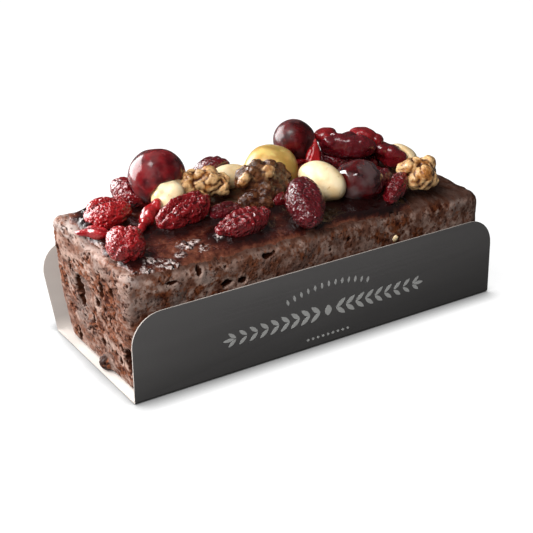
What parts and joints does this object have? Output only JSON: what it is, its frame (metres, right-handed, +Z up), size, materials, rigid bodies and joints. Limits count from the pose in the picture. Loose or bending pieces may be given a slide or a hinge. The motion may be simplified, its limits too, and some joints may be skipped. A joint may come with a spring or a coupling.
{
  "type": "fruit cake",
  "caption": "Fruit cake bar in a low folded card tray, its glazed top heaped with glace cherries, dried berries and nuts.",
  "frame": {"origin": "middle of the footprint of the whole, on the surface that the tray stands on", "axes": "+X along the bar from its cut end to its baked end, +Y towards the wall that leans outwards, +Z up"},
  "size_m": [0.17, 0.083, 0.0711],
  "materials": {
    "card": "satin black printed card, white on its inner side and cut edges",
    "crumb": "dark moist fruit cake crumb with pits and orange-brown flecks",
    "glaze": "thin dark clear glaze, glossy",
    "berry": "bright red dried berry, wrinkled and glazed",
    "dark_berry": "dark red dried berry, wrinkled and glazed",
    "cherry": "deep red glace cherry, smooth and glossy",
    "golden_cherry": "golden glace cherry, smooth and glossy",
    "nut": "blanched cream nut, lightly glazed",
    "walnut": "golden brown walnut kernel, lightly glazed"
  },
  "bodies": {
    "root": {"card_tray": "card", "cake": "crumb", "berry_corner": "berry", "berry_tongue": "berry", "berry_left": "berry", "berry_rear_left": "dark_berry", "berry_upright_left": "berry", "berry_split": "berry", "berry_front": "berry", "berry_curl": "dark_berry", "berry_small": "berry", "berry_middle": "dark_berry", "berry_right": "dark_berry", "berry_glazed": "dark_berry", "berry_back": "dark_berry", "berry_peak": "berry", "berry_crest": "berry", "berry_long": "dark_berry", "berry_dome": "berry", "berry_trail": "dark_berry", "berry_under_a": "berry", "berry_under_b": "dark_berry", "berry_under_c": "dark_berry", "berry_hollow_a": "berry", "berry_hollow_b": "dark_berry", "berry_rear_a": "berry", "berry_rear_b": "berry", "berry_rear_c": "dark_berry", "cherry_left": "cherry", "cherry_front": "cherry", "cherry_top": "cherry", "cherry_golden": "golden_cherry", "nut_left": "nut", "nut_back": "nut", "nut_middle": "nut", "nut_right": "nut", "nut_rear": "nut", "walnut_left": "walnut", "walnut_middle": "walnut", "walnut_right": "walnut"}
  },
  "joints": []
}
